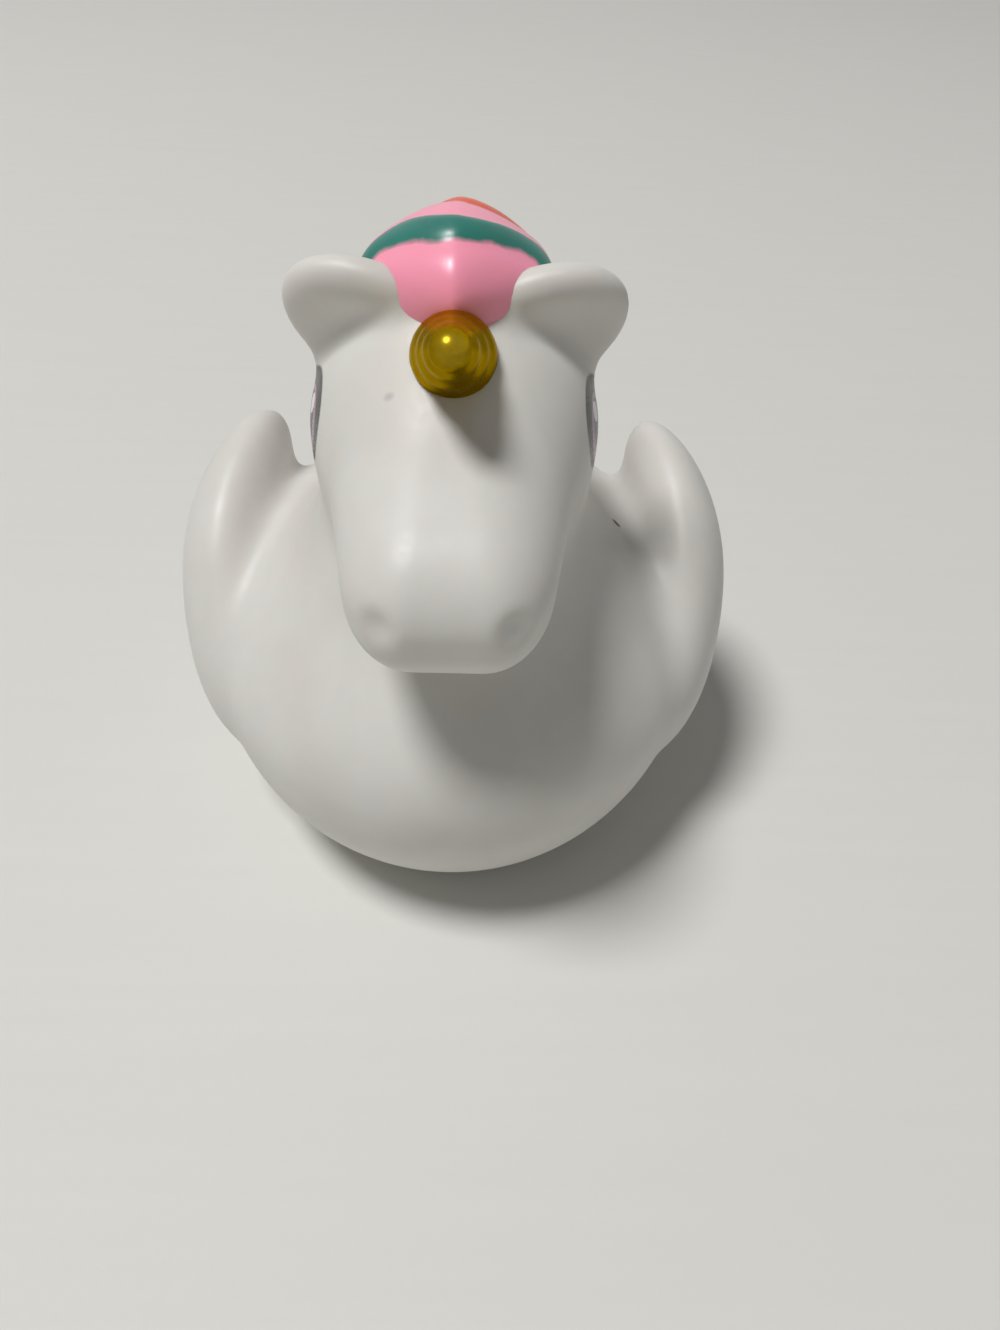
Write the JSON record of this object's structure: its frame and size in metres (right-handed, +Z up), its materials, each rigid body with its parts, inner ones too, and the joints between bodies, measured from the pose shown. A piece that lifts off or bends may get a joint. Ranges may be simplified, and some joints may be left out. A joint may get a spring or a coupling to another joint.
{
  "type": "rubber duck",
  "caption": "Unicorn-headed bath duck moulded hollow in soft white vinyl, with a ringed gold horn, cupped ears, waved pink mane, raised wings, upturned tail and a flat base to stand on.",
  "frame": {"origin": "middle of the outline at the level of the flat base", "axes": "+Z up, -Y the way the face looks, +X to the viewer's right when facing it"},
  "size_m": [0.0868, 0.0994, 0.0992],
  "materials": {
    "vinyl": "satin white vinyl with sprayed pink, teal, orange, gold and dark grey paint"
  },
  "bodies": {
    "root": {"duck": "vinyl"}
  },
  "joints": []
}
